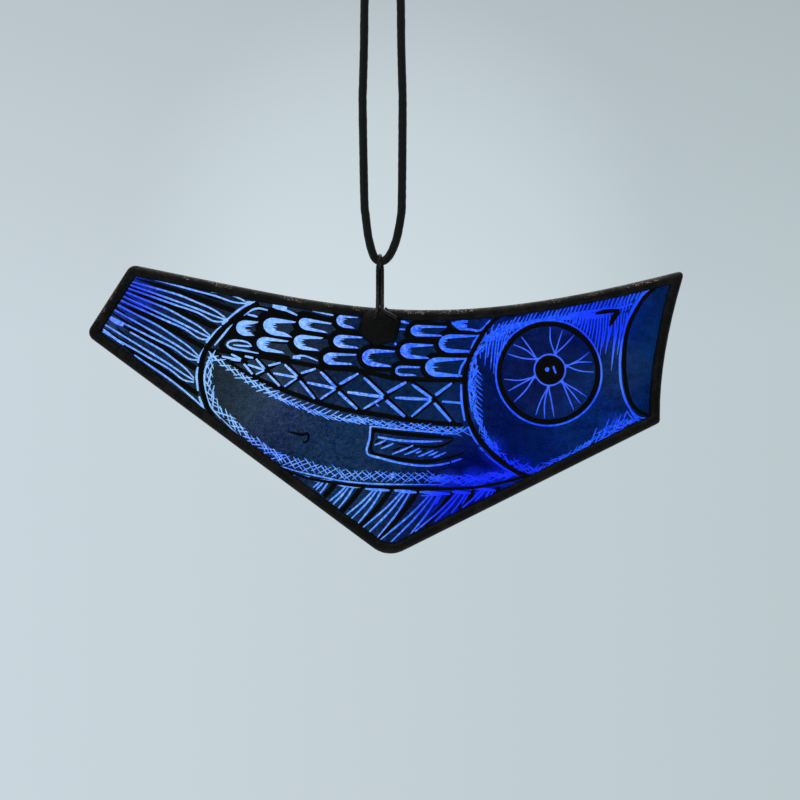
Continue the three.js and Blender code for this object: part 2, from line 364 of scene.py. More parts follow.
def glass_material():
    m = Look("blue glass")
    colour = srgb(22, 88, 255)
    for x, z, core, reach, tint in LIGHT_THROUGH:
        colour = m.mix(m.near(x, z, core, reach), colour, tint)
    east = m.eastward(-12, 28)
    mottle = m.between(m.noise(1.3, 5, rough=0.65), 0.42, 0.62)
    share = m.math("SUBTRACT", 0.58, m.times(east, 0.34))
    pale = m.mix(east, srgb(206, 234, 255), srgb(112, 168, 255))
    colour = m.mix(m.times(mottle, share), colour, pale)
    colour = m.mix(m.times(m.near(33.6, -22.4, 7, 11), 0.24), colour, srgb(112, 150, 250))  # the eye
    for x, z, core, reach, tint in DEEP_BLUE:
        colour = m.mix(m.times(m.near(x, z, core, reach), 0.85), colour, tint)
    colour = m.mix(m.times(m.near(48, -22, 3, 8), 0.35), colour, srgb(120, 165, 255))  # the mouth
    streaks = m.between(m.noise(0.12, 3, (1, 1, 0.35)), 0.3, 0.75)
    colour = m.mix(m.times(streaks, 0.12), colour, srgb(0, 22, 214))
    m.bump(m.noise(0.25, 3), 0.02, 0.25)
    return m.set(Base_Color=colour, Roughness=0.02, IOR=1.5, Transmission_Weight=1.0)


# ---- The drawing: strokes as outlines -------------------------------------------------------


def smooth(points, per_mm=1.2):
    """A Catmull-Rom curve through drawing points."""
    p = np.array(points, float)
    if len(p) == 2:
        return p
    return spline(p, [max(2, round(run * per_mm)) for run in np.linalg.norm(np.diff(p, axis=0), axis=1)])


def ribbon(path, widths):
    """The outline of a stroke with a width at each point of its path."""
    path = np.array(path, float)
    tangent = np.gradient(path, axis=0)
    tangent /= np.linalg.norm(tangent, axis=1, keepdims=True)
    side = np.stack([-tangent[:, 1], tangent[:, 0]], axis=1) * np.reshape(widths, (-1, 1)) / 2
    return np.vstack([path - side, (path + side)[::-1]])


TAPERED = (0.25, 0.7)  # the shares of a line's length where its first taper ends and its last begins
PAINTED, SCRAPED = 0.07, 0.12  # how much the width of a painted line and of a scratch varies


def stroke(points, width, start=1.0, end=1.0, unsteady=SCRAPED, per_mm=1.2):
    """A drawn line. start and end are the shares of its width left at its two ends."""
    path = smooth(points, per_mm)
    if len(path) == 2:
        path = path[0] + (path[1] - path[0]) * np.linspace(0, 1, 5)[:, None]
    t = np.linspace(0, 1, len(path))
    taper = np.minimum(np.interp(t, [0, TAPERED[0]], [start, 1]), np.interp(t, [TAPERED[1], 1], [1, end]))
    wobble = 1 + unsteady * rng.uniform(-1, 1, len(path))
    return ribbon(path, width * taper * wobble)


def disc(centre, radius, sides=48, uneven=0.0, seed=1.0):
    angles = np.arange(sides) * 2 * math.pi / sides
    ring = np.stack([np.cos(angles), np.sin(angles)], axis=1)
    return np.array(centre) + ring * radius * (1 + uneven * ripple(ring, 1.3, seed))[:, None]


def annulus(centre, radius, width, uneven=0.03, seed=1.0):
    """A ring line as two half rings, because an outline here can't have a hole."""
    halves = []
    overlap = 2  # degrees
    for start in (0, 180):
        angles = np.radians(np.linspace(start - overlap, start + 180 + overlap, 44))
        ring = np.stack([np.cos(angles), np.sin(angles)], axis=1)
        wander = ripple(ring, 1.1, seed)
        path = np.array(centre) + ring * (radius + uneven * radius * 0.3 * wander)[:, None]
        halves.append(ribbon(path, width * (1 + 0.18 * ripple(ring, 3.0, seed + 5))))
    return halves


def walk(path, t):
    """The point at share t of a path's length, and the direction there."""
    length = travelled(path)[-1]
    at = np.clip(t, 0, 1) * length
    point, ahead, behind = points_at(path, [at, min(at + 0.3, length), max(at - 0.3, 0)])
    return point, (ahead - behind) / np.linalg.norm(ahead - behind)


def turned(vector, degrees):
    x, z = vector
    cos, sin = math.cos(math.radians(degrees)), math.sin(math.radians(degrees))
    return np.array([x * cos - z * sin, x * sin + z * cos])


broken_lines = []  # thick black lines that scratches cut through
scratched = []  # scratches through the wash
whole_lines = []  # thick black lines painted or left over the scratches
picked_out = []  # scratches through those as well


def line(points, width, start=0.8, end=0.8):
    broken_lines.append(stroke(points, width, start, end, PAINTED))


def whole_line(points, width, start=0.8, end=0.8):
    whole_lines.append(stroke(points, width, start, end, PAINTED))


def scratch(points, width=0.4, start=0.5, end=0.5):
    scratched.append(stroke(points, width, start, end))


def height_on(curve, x):
    """How high a curve that runs from left to right lies at x."""
    return np.interp(x, curve[:, 0], curve[:, 1])


def hatch(points, spread, length, pitch, angles, width=0.19):
    """Short scratches strewn along a curve, a pitch apart, crossing it at each of these angles.

    spread is the width of the band that their middles lie in, or its widths from start to end."""
    path = smooth(points)
    step = pitch / travelled(path)[-1]
    spreads = np.atleast_1d(spread)
    for angle in angles:
        for t in np.arange(0, 1, step):
            centre, along = walk(path, t + rng.uniform(-0.14, 0.14) * step)
            across = np.array([-along[1], along[0]])
            reach = np.interp(t, np.linspace(0, 1, len(spreads)), spreads)
            centre = centre + across * rng.uniform(-0.5, 0.5) * reach
            way = turned(along, angle + rng.uniform(-6, 6))
            half = length * rng.uniform(0.35, 0.6)
            bow = turned(way, 90) * half * rng.uniform(-0.08, 0.08)
            bowed = [centre - way * half, centre + bow, centre + way * half]
            scratch(bowed, width * rng.uniform(0.8, 1.2), 0.6, 0.4)


# The tail: long rays that gather in bunches at the line where the tail joins the body.
whole_line([
    (-24.2, -8.4), (-26, -9.4), (-29, -11.7), (-31.8, -14), (-33.6, -16.2), (-34.6, -17.6), (-35.4, -19.5),
    (-35.7, -21.8), (-35.7, -24), (-35.3, -26.3), (-34.4, -29.1), (-33.2, -31.2),
], 1.05)
TAIL_BUNCHES = [  # where a bunch gathers, and where its rays start
    ((-26.8, -8.5), [(-33.6, -6.2), (-47.6, -3)]),
    ((-30.8, -11.7), [(-49.8, -4.1), (-50.1, -4.7), (-50.5, -5.4)]),
    ((-33.8, -15.3), [(-50.9, -6.2), (-51.4, -7), (-51.9, -7.8)]),
    ((-36.1, -19.4), [(-52.4, -8.8), (-53, -9.8), (-53.7, -11.2)]),
    ((-37, -23.8), [(-49.9, -14.2), (-54.8, -12.8), (-55.3, -14.1)]),
    ((-35.2, -29.6), [(-49, -18.8), (-53.1, -16.4)]),
]
ARCHES = {2: (0.5, -0.1), 3: (0.95, 0.1, -0.1)}  # how far each ray bows up, in bunches of two and three
DIPS = {2: (0, -0.3), 3: (0.2, -0.1, -0.65)}  # and how far it is bent near its end
for gather, starts in TAIL_BUNCHES:
    for k, (start, arch, dip) in enumerate(zip(starts, ARCHES[len(starts)], DIPS[len(starts)])):
        run = np.array(gather) + (-0.1, 0.35 - 0.4 * k) - start
        bows = [(0, 0), (0.25, 0.5 * arch), (0.5, arch), (0.72, arch * 0.9), (0.88, arch * 0.5 + dip), (1, 0)]
        scratch([start + share * run + (0, rise) for share, rise in bows], 0.36, 0.8, 0.8)
for (gather, starts), (gather_below, starts_below) in zip(TAIL_BUNCHES, TAIL_BUNCHES[1:]):
    a = (np.array(starts[-1]) + starts_below[0]) / 2
    b = (np.array(gather) + gather_below) / 2 + (-0.2, 0.1)
    line([a, a + 0.5 * (b - a) + (0, 0.15), a + 0.85 * (b - a), b], 1, 0.15, 1)
    for k in range(len(starts) - 1):
        a = (np.array(starts[k]) + starts[k + 1]) / 2
        b = np.array(gather) + (-4, 0.2)
        line([a, (a + b) / 2, b], 0.5, 0.6, 0.2)
SHORT_LIGHTS = [  # scratches where the bunches meet, at the tail's tips and along the back, and their widths
    ([(-26.9, -8.5), (-25.4, -8.4)], 0.8),
    ([(-24.9, -8.2), (-27.2, -9.2), (-29.5, -10.9), (-31.5, -12.7)], 0.4),
    ([(-30.5, -11.6), (-31.4, -12.7)], 0.85),
    ([(-31.6, -13.1), (-32.8, -14.1), (-34.7, -16.4)], 0.4),
    ([(-33.7, -15.2), (-34.6, -16.3)], 0.75),
    ([(-35, -17.5), (-36, -19.4), (-36.3, -20.4)], 0.6),
    ([(-36.3, -21.2), (-36.6, -22.9), (-36.3, -26)], 0.42),
    ([(-36.1, -27.1), (-35.1, -29.8)], 0.42),
    ([(-54, -11.3), (-52.6, -12.3), (-51.2, -12.9)], 0.7),
    ([(-55.2, -13.7), (-53.4, -15.1), (-51.1, -16.8)], 0.45),
    ([(-29.5, -12.6), (-31.4, -15), (-33, -16.9)], 0.42),
    ([(-27.2, -10.9), (-25.9, -10), (-24.2, -9.5), (-22.4, -9.9)], 0.42),
    ([(-26.4, -10.7), (-24.4, -11.2)], 0.42),
    ([(-21.4, -8.9), (-19.9, -9.3), (-18.6, -9.7)], 1),
    ([(-20.8, -9.2), (-18.5, -10), (-16.5, -10.9)], 0.42),
    ([(-13.4, -10), (-11.4, -10.4), (-9.3, -10.9)], 0.42),
    ([(-17.4, -19.3), (-16.2, -19.4), (-15.9, -19.6)], 0.5),
    ([(-17.3, -19.1), (-15, -19), (-12.4, -20)], 0.34),
    ([(4.2, -12.1), (5.8, -12.5)], 0.5),
    ([(3.9, -13.7), (5, -13.7)], 0.34),
    ([(14.4, -12.3), (15.8, -13.6)], 0.5),
    ([(14.9, -12.4), (17.5, -12.1)], 0.6),
    ([(15.2, -12.9), (17.4, -13.1)], 0.8),
    ([(15.8, -13.7), (17.8, -13.7), (20, -13.9), (22, -11.8)], 0.42),
]
for points, width in SHORT_LIGHTS:
    scratch(points, width, 0.8, 0.7)
scratched.append(disc((3.1, -16.6), 0.27, 10))

# Scales: left, right, top and bottom of each bright crescent, how far it leans down to the right, how
# deep its bright part is, and whether a line closes its open end.
SCALES = [
    (-28.7, -24.2, -11.8, -14.9, 0.05, 1.9, False),
    (-23.3, -16.7, -11.1, -14.6, 0.14, 2.2, False),
    (-16.2, -9.6, -11.2, -13.6, 0.17, 1.7, False),
    (-8.7, -4.2, -10.5, -13.2, 0.12, 1.3, False),
    (-24.6, -18.2, -15, -17.9, 0.13, 1.8, False),
    (-17.2, -11.3, -14.6, -17.6, 0.10, 1.5, False),
    (-9.3, -3.4, -14.7, -17.3, 0.06, 1.4, False),
    (-11.3, -4.6, -18.3, -20.7, 0.03, 1.8, False),
    (-3.6, 3.1, -17.5, -21, 0.05, 1.4, False),
    (4, 10.7, -16.4, -19.5, 0.03, 1.5, False),
    (6.1, 13.4, -12.8, -15.1, 0.02, 1.5, False),
    (11.7, 19.8, -14.7, -18.4, 0, 1.2, True),
    (9, 17.4, -19.3, -23.2, 0, 1.7, True),
    (3, 8.1, -20.9, -23, 0.02, 0.6, False),
]


def crescent(left, right, top, bottom, lean, fill, closed):
    """A scale's black outline and the bright crescent inside its rounded end."""
    centre_z = (top + bottom) / 2
    tall = (top - bottom) / 2
    nose = min(0.42 * (right - left), 1.3 * tall)
    arm = min(0.42, 0.4 * tall)

    def at(x, z):
        return (x, z - lean * (x - left))

    def bay(reach, height):
        """Points round the rounded end, from the lower arm to the upper."""
        angles = np.radians(np.linspace(-90, -270, 9))
        return [at(left + nose + reach * math.cos(a), centre_z + height * math.sin(a)) for a in angles]

    heavy = np.interp(left, [-24, -6], [1.7, 1.05])  # the outline is thicker towards the tail
    away = heavy / 2 - 0.05
    ends = at(right + 0.3, bottom - away), at(right + 0.6, top + away * 0.6)
    outline = [ends[0], *bay(nose + away, tall + away), ends[1]]
    broken_lines.append(stroke(outline, heavy, 0.6, 0.6, 0.05, per_mm=1.6))
    teeth = []
    count = 9 if tall > 1.1 else 5
    hollow = tall - min(0.85, 0.48 * tall)  # half the height of the dark hollow at its deep end
    for k, share in enumerate(np.linspace(1, -1, count)):
        root = left + fill * (0.82 + 0.45 * share**2)
        bite = fill * rng.uniform(0.2, 0.9) if k % 2 == 0 else -0.15
        teeth.append(at(root + bite, centre_z + share * hollow))
    outer = [at(right - 0.8, bottom + 0.1), *bay(nose, tall), at(right, top - 0.15)]
    inner = [at(right - 0.3, top - 0.7 * arm - 0.15), *teeth, at(right - 1.3, bottom + arm)]
    scratched.append(np.array(outer + inner))
    if closed:
        across = [at(right, top - 0.1), at(right - 1.2, centre_z), at(right - 1.7, bottom + 0.1)]
        scratch(across, 0.42, 0.8, 0.8)
        scratch([at(right - 2.2, bottom + 0.15), at(right - 1.6, bottom + 0.1)], 0.4)


for scale in SCALES:
    crescent(*scale)
line([
    (-24.4, -19.4), (-28.6, -18.7), (-31.5, -17.3), (-31.1, -15.4), (-28.4, -14.9), (-25.2, -15.9),
    (-24.4, -17),
], 1.2)
scratch([
    (-25.6, -17.1), (-26.4, -16.3), (-28.4, -15.9), (-29.9, -16.1), (-30.5, -16.8), (-29.6, -17.5),
    (-27.2, -17.9), (-24.2, -18.5),
], 0.42)
scratch([(-29.3, -16.8), (-27.4, -17), (-25.5, -17.1)], 0.34)
for points in (
    [(-27, -8.7), (-22.4, -9.9), (-16, -11), (-9.4, -11.6), (-8.9, -9.6)],
    [(-32.6, -15.4), (-30, -13.6), (-28.9, -11.4)],
    [(4.8, -14.4), (6.4, -15.9), (5, -16)],
    [(13.4, -11.6), (14.6, -14), (22.4, -14.4)],
):
    line(points, 1.2, 0.6, 0.6)

# The lattice below the scales: black crosses, with an arrow of light before each and a fork after it.
LATTICE_TOP = smooth([
    (-34.2, -17.8), (-27, -18.6), (-18.6, -20), (-11.5, -21.2), (-4, -22), (3.4, -23.5), (9.3, -23.8),
    (17, -23.9),
])
LATTICE_LOW = smooth([
    (-33.4, -18), (-27.4, -22), (-24.6, -23.5), (-17.2, -26.6), (-8.4, -29.4), (0.2, -30.8), (7.5, -32),
    (17.3, -32.8),
])
CROSSINGS = [
    (-32.6, -18.4), (-27.3, -19.8), (-22.6, -21.7), (-16.1, -23.2), (-8.4, -25.4), (1.1, -27.1),
    (10.7, -27.6), (19.2, -28),
]
line(LATTICE_TOP[::2], 0.95)
line(LATTICE_LOW[::2], 1, 0.4)


def roof(x):
    return height_on(LATTICE_TOP, x)


def ground(x):
    return height_on(LATTICE_LOW, x)


for before, (x, z), after in zip(CROSSINGS, CROSSINGS[1:], CROSSINGS[2:]):
    back, ahead = x - before[0], after[0] - x
    thick = np.interp(back, [5, 9], [0.42, 0.58])
    left, right = x - 0.5 * back, x + 0.5 * ahead
    line([(left, roof(left)), (x, z), (right, ground(right))], 0.9)
    line([(left, ground(left)), (x, z), (right, roof(right))], 0.9)
    high, low = x - 0.45 * back, x - 0.46 * back
    scratch([(high, z + 0.76 * (roof(high) - z)), (x - 0.4, z + 0.1)], thick, 0.7, 0.9)
    scratch([(x - 0.8 * back, (z + before[1]) / 2), (x - 0.5, z - 0.1)], thick, 0.7, 0.9)
    scratch([(low, ground(low) + 0.75), (x - 0.5, z - 0.2)], thick * 0.8, 0.7, 0.9)
    high, low = x + 0.43 * ahead, x + 0.4 * ahead
    scratch([(x + 0.35, z + 0.75), (high, roof(high) - 0.55)], thick, 0.9, 0.7)
    scratch([(x + 0.15, z - 0.8), (low, ground(low) + 0.5)], thick, 0.9, 0.9)
scratch([(16.2, -24.7), (16.3, -28.2), (16.9, -32)], 0.45, 0.8, 0.7)
scratch([(12.4, -28.1), (16.2, -28.4)], 0.45, 0.7, 0.9)
scratch([(-0.8, -28.6), (-0.2, -29.1)], 0.25)

# The belly: a plain field between crosshatched bands.
hatch([
    (-33.4, -19), (-31.4, -20.4), (-28.2, -22.6), (-24.6, -24.8), (-20.6, -26.8),
], 0.3, 3, 1.55, (38, -20), 0.25)
hatch([(-21.2, -26.6), (-15.2, -28.9), (-9.5, -30.7), (-2.8, -32)], 0.2, 2.6, 1.25, (42,), 0.24)
hatch([(-20.6, -27.2), (-15.2, -29.5), (-9.5, -31.3), (-2.8, -32.4)], 0.2, 3.2, 1.35, (-14,), 0.26)
hatch([
    (-4.9, -31.5), (-0.9, -32.4), (4.2, -32.9), (9.3, -33.3), (13.4, -33.8),
], 0.3, 2.7, 1.25, (33, -24), 0.22)
hatch([(13, -34), (15.6, -34.1), (17.4, -34)], 1.1, 2, 0.6, (30, -30))
scratch([(-1.9, -33), (4.2, -33.65), (9.4, -34.1), (14.6, -34.6)], 0.34)
hatch([
    (-33.7, -19.2), (-34.1, -23), (-33.6, -26.5), (-32.1, -29.6), (-28.9, -32.9), (-24.6, -36.3),
    (-19.8, -39.2),
], [0.4, 0.8, 0.8, 0.6, 0.5], 3, 1.45, (-24, 28), 0.23)
scratch([(-33.8, -19.1), (-34.9, -22), (-34.9, -25.6), (-33.9, -28.8), (-31.8, -31.5)], 0.4, 0.4, 0.5)
scratch([(-31.8, -31.3), (-28.3, -34.7), (-24.6, -37.6), (-21, -40.1)], 0.26, 0.4, 0.5)
hatch([
    (-20.6, -39.2), (-14, -41.2), (-8, -42.5), (0, -43.1), (8, -43.3), (12.6, -43.4),
], [0.4, 0.6, 0.6], 3.4, 1.4, (38, -36), 0.2)
hatch([(11, -43.6), (18, -43.7), (24, -42.9), (27, -42.6)], [1.2, 1.3, 0.5], 2.6, 0.55, (24, -24), 0.22)
scratch([
    (-20.4, -40.8), (-16.2, -42.1), (-11.7, -43.1), (-7.8, -43.9), (-3.2, -44.4), (1.4, -44.6),
    (12.2, -44.7),
], 0.32)
whole_line([
    (-20.2, -41.2), (-17.2, -42.5), (-13.4, -43.6), (-8.4, -44.4), (-3.2, -45), (4, -45.3), (12, -45.5),
    (18.4, -45.3), (24.2, -44.3), (29.4, -42.9),
], 0.62, 0.6, 1.2)
whole_line([
    (-18.4, -34.1), (-16.6, -34.5), (-15.4, -34.8), (-14.6, -34.4), (-14.2, -35.2), (-14.6, -36.1),
    (-15.4, -36.3),
], 0.56, 0.5, 0.6)
CHIP_AT = np.array([2.5, -42.8])  # a chip in the paint
for angle in (20, 75, 140):
    way = turned((0.75, 0), angle)
    scratch([CHIP_AT - way, CHIP_AT + way], 0.24)

# The fin on the belly.
line([
    (-1.3, -33.5), (-1.8, -38), (0, -38.8), (4.1, -39.6), (8.8, -40.1), (13.1, -39.5), (16.9, -38.3),
], 0.75, 1, 0.5)
line([(-1.4, -33.8), (4.2, -34.5), (10.4, -35.1), (14.6, -35.4)], 0.85, 1, 0.5)
line([(14.8, -35.6), (12.6, -36.8), (9.4, -37.2), (3.6, -36.6)], 0.55, 0.5, 0.5)
scratch([
    (-1.9, -33.1), (-2.1, -35.6), (-2.6, -38.4), (0.2, -39.4), (4.1, -40.4), (8.2, -40.9), (11.4, -40.8),
    (13.9, -40.3),
], 0.42, 0.9, 0.8)
scratch([(14.2, -40.2), (16.3, -39.5)], 0.4, 0.8, 0.4)
scratch([(-0.4, -35.2), (4.2, -35.9), (8.9, -36.1), (12.4, -36)], 0.45, 0.8, 0.4)
for x, z, run in (
    (-1.1, -36.8, 2.3), (0.2, -37.5, 2.5), (2.4, -38.6, 4.2), (4.9, -38.7, 3), (7.2, -38.4, 1.1),
    (7.6, -39.1, 3.1), (9.7, -38.9, 1.9), (10.6, -39.3, 2.6),
):
    scratch([(x, z), (x + 0.5 * run, z + 0.19 * run), (x + run, z + 0.42 * run)], 0.34, 0.6, 0.6)
    line([(x + 0.1, z + 0.65), (x + 0.5 * run, z + 0.19 * run + 0.7)], 0.4, 0.4, 0.4)

# The fins along the bottom edge. Each has a bar under the belly line: its left end, right end and
# height. From every bar but the first, three rays fall to the rim, and a black line closes the fin.
FIN_BARS = [
    (-17.2, -14, -42.9), (-13.3, -9.1, -43.9), (-8.3, -3.9, -44.9), (-2.9, 1.9, -45.6), (2.9, 7.3, -46),
    (7.9, 14, -46.3), (14.3, 18.1, -46.2), (19, 23.1, -45.6),
]
BOTTOM = np.array([(-18, -41.6), (-1.6, -55), (0.4, -56), (3, -56.3), (6.2, -54.6), (30, -42.6)])


def fall_from(top, lean):
    """The length of a ray from a bar down to the rim."""
    run = 0.5
    while run < 14 and top[1] - run > height_on(BOTTOM, top[0] + lean * run) + 0.2:
        run += 0.1
    return run


for k, (left, right, z) in enumerate(FIN_BARS):
    bar = [(left, z + 0.15), ((left + right) / 2, z - 0.05), (right, z - 0.25)]
    scratch(bar, 0.3 if k == 0 else 0.62)
    if k == 0:
        continue
    heart = left + 0.52 * (right - left)
    for ray, lean in enumerate((-1.1, -0.9, -0.72)):
        top = np.array([heart + (-0.9, -0.2, 0.8)[ray], z - 0.2])
        run = fall_from(top, lean)
        points = [top, top + (lean * 0.45 * run + 0.03 * run, -0.47 * run), top + (lean * run, -run)]
        scratch(points, 0.36, 0.9, 0.7)
    top = np.array([right + 0.6, z - 0.1])
    run = fall_from(top, -0.86)
    line([top + (0.1, 0.6), top + (-0.33 * run, -0.4 * run), top + (-0.86 * run, -run)], 1.05, 0.6, 1.2)
scratch([(25.4, -45.35), (27.4, -44.2)], 0.38, 0.3, 0.3)
scratch([(8.2, -46.9), (13.4, -46.6)], 0.35, 0.5, 0.5)
for x, z in ((12.2, -46.8), (17.5, -46.8), (22.6, -46), (21.8, -46.2)):
    scratch([(x, z), (x - 1.2, z - 1.9)], 0.3, 0.8, 0.4)

# The gill, with a light line behind its lower half and crosshatching in front of it.
whole_line([
    (23.9, -11), (21.5, -13.2), (20.1, -15.3), (18.4, -18.3), (17.2, -21.4), (16.9, -24.2), (17, -27.3),
    (17.4, -30.4), (18.3, -33), (19.8, -35.6), (22.1, -38.2), (24.6, -40.3), (27.2, -42.1), (30, -43.2),
], 1, 0.8, 0.9)
scratch([(17.6, -33.1), (18.3, -34.7), (19.6, -36.7)], 0.4, 0.7, 0.6)
scratch([(19.9, -37.2), (20.7, -38.1)], 0.4, 0.6, 0.6)
scratch([(21, -38.5), (22.9, -40.1), (25.5, -41.9), (28.4, -42.9)], 0.34, 0.5, 0.5)
hatch([
    (22.4, -13.6), (20.9, -15.8), (19.2, -19.2), (18.5, -23), (18.6, -27), (19.3, -31), (20.7, -34.5),
    (23.2, -37.9),
], [1.4, 1.2, 0.8, 0.8, 1], 2.2, 0.62, (-26, 22), 0.2)
scratch([(20.4, -16.6), (18.7, -20), (17.9, -23.6), (17.9, -27), (18.3, -30.2)], 0.4, 0.6, 0.4)
for z in np.arange(-21.4, -31.6, -1.05):
    scratch([(18.9, z), (20.4 + rng.uniform(-0.3, 0.2), z - 1.4)], 0.22, 0.5, 0.3)
hatch([(21.6, -36.4), (24.6, -39.6), (27.4, -41), (31, -41.7)], [1, 1.5, 1.3], 2.3, 0.68, (-30, 36), 0.2)
hatch([(30.6, -41.7), (35.3, -39.9), (38.6, -38.3), (41.3, -36.7)], [1.2, 0.6, 0.7], 2.1, 0.72, (-26, 30))
hatch([
    (40.8, -37), (43.6, -35.2), (46.1, -33.8), (48.6, -32.6), (50.6, -31.9),
], [0.6, 1.5, 1.8, 0.9], 2.3, 0.55, (-10, 32), 0.2)
for x, z, run in (
    (42.3, -35.9, 2.5), (44.3, -35.4, 4.1), (46.6, -33.6, 2.2), (47.3, -32.8, 2.2), (48.5, -32, 2.2),
):
    scratch([(x, z), (x + 0.36 * run, z + run)], 0.28, 0.8, 0.3)
for x in (49.2, 49.9, 50.3):
    scratch([(x, -29.9), (x + 0.9, -31.2), (x + 1.7, -32.1)], 0.28, 0.4, 0.6)

# Light over the top of the head: a solid band along the eye's ring, a comb of short strokes above it,
# and longer strokes falling from it on both sides of the ring.
CROWN_LOW = smooth([
    (22.6, -14.2), (25, -12.9), (28, -12.3), (32.3, -11.5), (37.4, -10.5), (42.5, -9.8), (46.5, -8.9),
    (51, -7.4),
])
CROWN_TOP = smooth([
    (24, -12), (27.4, -11), (32.3, -10), (37.4, -8.8), (42.5, -7.9), (48, -6.6), (54.4, -5.2),
])
for x in np.arange(23.6, 53, 0.82):
    foot = (x - 0.6 + rng.uniform(-0.12, 0.12), height_on(CROWN_LOW, x - 0.5) - 0.3)
    tip = (x + 0.35, height_on(CROWN_TOP, x) + rng.uniform(-0.6, 0.1))
    if foot[1] < tip[1] - 0.4:
        scratch([foot, tip], rng.uniform(0.22, 0.36), 1, 0.3)
EYE_AT = np.array([33.65, -22.4])
BLACK_RING, LIGHT_RING = 9.8, 10.55  # radii


def ring_top(x):
    """The height of the top of the eye's light ring at x."""
    return EYE_AT[1] + math.sqrt(max(0, (LIGHT_RING + 0.15) ** 2 - (x - EYE_AT[0]) ** 2))


for x in np.arange(22.4, 50.4, 0.66):  # the solid band
    high = height_on(CROWN_LOW, x) + 0.1
    low = max(ring_top(x) + 0.1, high - 2.6) if x < 42 else high - 2.0
    scratch([(x - 0.5, low - 0.2), (x + 0.1, high)], rng.uniform(0.2, 0.42), 0.7, 0.8)
scratch([(21.6, -16), (24.2, -13.9), (28.6, -12.9), (33.6, -11.8), (38.6, -11.6)], 0.5, 0.5, 0.5)
scratch([(36.4, -11.3), (40, -10.9), (43, -11.4)], 0.8, 0.4, 0.4)
FALL_LEFT = (-21, -19.4, -21.6, -22.6, -20.4, -21.4, -19, -17.6)  # how low each stroke reaches
FALL_RIGHT = (
    -12.8, -13.6, -14.4, -14.9, -15.4, -16.2, -16.4, -18.3, -18.4, -19.3,
    -17.2, -18.6, -16.2, -21.9, -17.4, -18.8, -15.4, -14.6, -13.4,
)
for k, low in enumerate(FALL_LEFT):
    x = 20.9 + 0.58 * k
    scratch([(x + 0.7, -14.8), (x + 0.3, (low - 14.8) / 2), (x, low)], 0.27, 1, 0.3)
for k, low in enumerate(FALL_RIGHT):
    x = 38.6 + 0.58 * k
    scratch([(x + 0.9, -10.4), (x + 0.6, (low - 10.4) / 2), (x, low)], rng.uniform(0.26, 0.36), 1, 0.3)
scratch([
    (24.6, -13), (29.4, -12.4), (35.2, -11.6), (41.2, -10.2), (46.8, -9.6), (50.4, -8.6),
], 0.55, 0.4, 0.5)
hatch([(22, -15.4), (26.6, -13.4)], 1.2, 2.4, 0.9, (-8, 12), 0.26)
whole_line([(43, -10.6), (44.6, -10.2), (46.4, -10), (47.8, -10.1)], 0.85, 0.5, 1)
whole_line([(47.5, -10.1), (46.6, -11.5), (45.8, -13.1)], 1.15, 1, 0.2)

# The mouth.
whole_line([
    (54.8, -5.5), (52.7, -7.4), (51.2, -9.8), (49.9, -12.3), (49.1, -15.1), (48.8, -17.9), (48.7, -21),
    (49.1, -25), (49.7, -27.4), (50.7, -29.2), (52.2, -30.4), (54.2, -30.9),
], 0.85, 0.9, 0.9)
scratch([(54, -5.4), (52, -7.3), (50.5, -9.6), (49.1, -13)], 0.7, 0.6, 0.6)
scratch([
    (49.2, -12.6), (48.3, -16), (47.9, -19.6), (47.9, -22.2), (48.1, -24.6), (48.7, -27.1), (49.6, -29.1),
    (50.7, -30.6), (52.2, -31.4), (53.6, -31.3),
], 0.46, 0.7, 0.4)

# The eye: a black ring in a light one, a pupil, and spokes in threes between them.
PUPIL_AT = np.array([33.9, -21.8])
PUPIL = 2.85
whole_lines += annulus(EYE_AT, BLACK_RING, 0.98, seed=2)
scratched += annulus(EYE_AT, LIGHT_RING, 0.36, seed=4)
whole_lines.append(disc(PUPIL_AT, PUPIL, 40, 0.05, 6))
scratched += annulus(PUPIL_AT, PUPIL + 0.25, 0.3, 0.08, seed=7)
for middle_angle, apart in ((72, 16), (14, 13), (-44, 12), (-95, 12), (204, 16), (141, 14)):
    apex = PUPIL_AT + (PUPIL + 0.5) * turned((1, 0), middle_angle)
    for k in (-1, 0, 1):
        outer = EYE_AT + (BLACK_RING + rng.uniform(-1.1, -0.6)) * turned((1, 0), middle_angle + apart * k)
        bend = turned(outer - apex, 90) * 0.09 * rng.uniform(-1, 1)
        scratch([outer, (outer + apex) / 2 + bend, apex], 0.26, 0.5, 1)
    scratched.append(disc(apex, 0.36, 10, 0.2, middle_angle))
picked_out.append(disc((33.35, -21.7), 0.45, 12, 0.25, 3))
picked_out.append(stroke([(34.6, -21), (34.8, -21.8), (35.1, -22.5)], 0.45, 0.5, 0.6))


# ---- Paint as relief ------------------------------------------------------------------------

RIM_PROFILE = [  # the solder's front face: inset from its outer edge, and distance from the glass's middle
    (2.14, 1.52), (2.08, 1.66), (1.92, 1.8), (1.68, 1.93), (1.42, 2.0), (1.15, 2.02), (0.88, 1.98),
    (0.62, 1.86), (0.4, 1.68), (0.2, 1.4), (0.08, 1.0), (0.02, 0.5), (0.0, 0.0),
]
UNDER_SOLDER = 0.27  # how far the paint runs in under the solder
PAINT_INSET = RIM_PROFILE[0][0] - UNDER_SOLDER - EDGE
FILMS = {"wash": 0.05, "trace": 0.11}  # the two kinds of paint, and how thick they lie
PAINT_GAP = 0.02  # between the glass and the paint
FIELD, BROKEN, SCRATCHED, WHOLE, PICKED_OUT = range(5)


